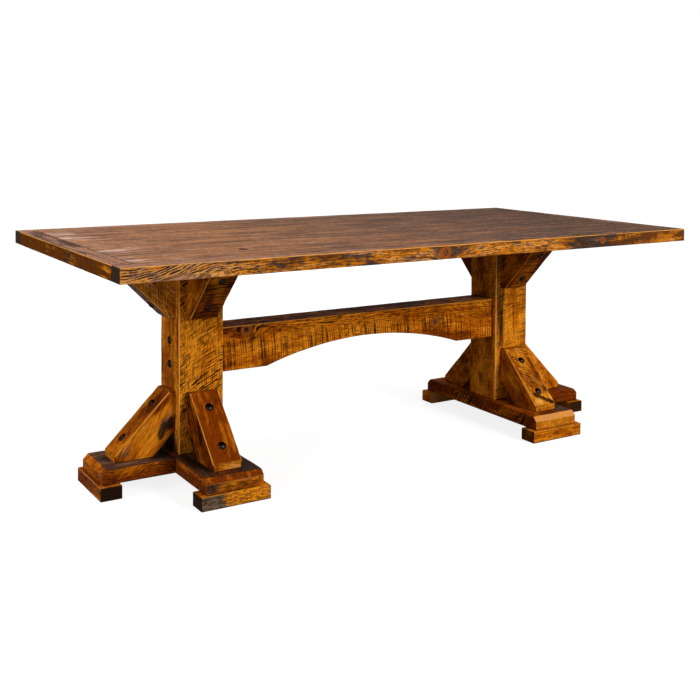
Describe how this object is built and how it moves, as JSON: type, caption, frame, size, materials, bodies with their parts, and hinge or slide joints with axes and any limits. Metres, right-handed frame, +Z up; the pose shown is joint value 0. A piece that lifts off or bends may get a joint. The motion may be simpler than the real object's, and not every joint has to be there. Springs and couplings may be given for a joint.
{
  "type": "trestle dining table",
  "caption": "Rustic plank dining table: rim-framed top on braced square posts, flat T-shaped feet on toe blocks, an arched stretcher between the trestles and domed black bolts.",
  "frame": {"origin": "on the floor under the middle of the tabletop", "axes": "+X along the table's length, -Y is the front seen in the picture, +Z up"},
  "size_m": [2.134, 1.067, 0.762],
  "materials": {
    "deck_wood": "grey-brown stained planks under a clear satin coat",
    "rim_wood": "amber stained rough-sawn board with dark grain, satin coat",
    "post_wood": "amber stained rough-sawn timber with saw marks and worn arrises, satin coat",
    "brace_wood": "amber stained rough-sawn timber, satin coat",
    "foot_wood": "amber stained rough-sawn timber, darker on top, satin coat",
    "toe_wood": "amber stained rough-sawn block with dark end grain",
    "stretcher_wood": "amber stained rough-sawn beam with saw lines, satin coat",
    "bolt_black": "black oxide, low sheen",
    "screw_steel": "zinc-plated steel"
  },
  "bodies": {
    "root": {"cross_foot_left": "foot_wood", "cross_foot_right": "foot_wood", "deck_plank_1": "deck_wood", "deck_plank_2": "deck_wood", "deck_plank_3": "deck_wood", "deck_plank_4": "deck_wood", "deck_plank_5": "deck_wood", "edge_board_back": "rim_wood", "edge_board_front": "rim_wood", "end_board_left": "rim_wood", "end_board_right": "rim_wood", "end_foot_left": "foot_wood", "end_foot_right": "foot_wood", "lower_brace_back_left": "brace_wood", "lower_brace_back_right": "brace_wood", "lower_brace_bolts_left": "bolt_black", "lower_brace_bolts_right": "bolt_black", "lower_brace_end_left": "brace_wood", "lower_brace_end_right": "brace_wood", "lower_brace_front_left": "brace_wood", "lower_brace_front_right": "brace_wood", "post_left": "post_wood", "post_right": "post_wood", "stretcher": "stretcher_wood", "stretcher_bolts_left": "bolt_black", "stretcher_bolts_right": "bolt_black", "toe_block_back_left": "toe_wood", "toe_block_back_right": "toe_wood", "toe_block_end_left": "toe_wood", "toe_block_end_right": "toe_wood", "toe_block_front_left": "toe_wood", "toe_block_front_right": "toe_wood", "toe_block_screws_left": "screw_steel", "toe_block_screws_right": "screw_steel", "upper_brace_back_left": "brace_wood", "upper_brace_back_right": "brace_wood", "upper_brace_bolts_left": "bolt_black", "upper_brace_bolts_right": "bolt_black", "upper_brace_end_left": "brace_wood", "upper_brace_end_right": "brace_wood", "upper_brace_front_left": "brace_wood", "upper_brace_front_right": "brace_wood"}
  },
  "joints": []
}
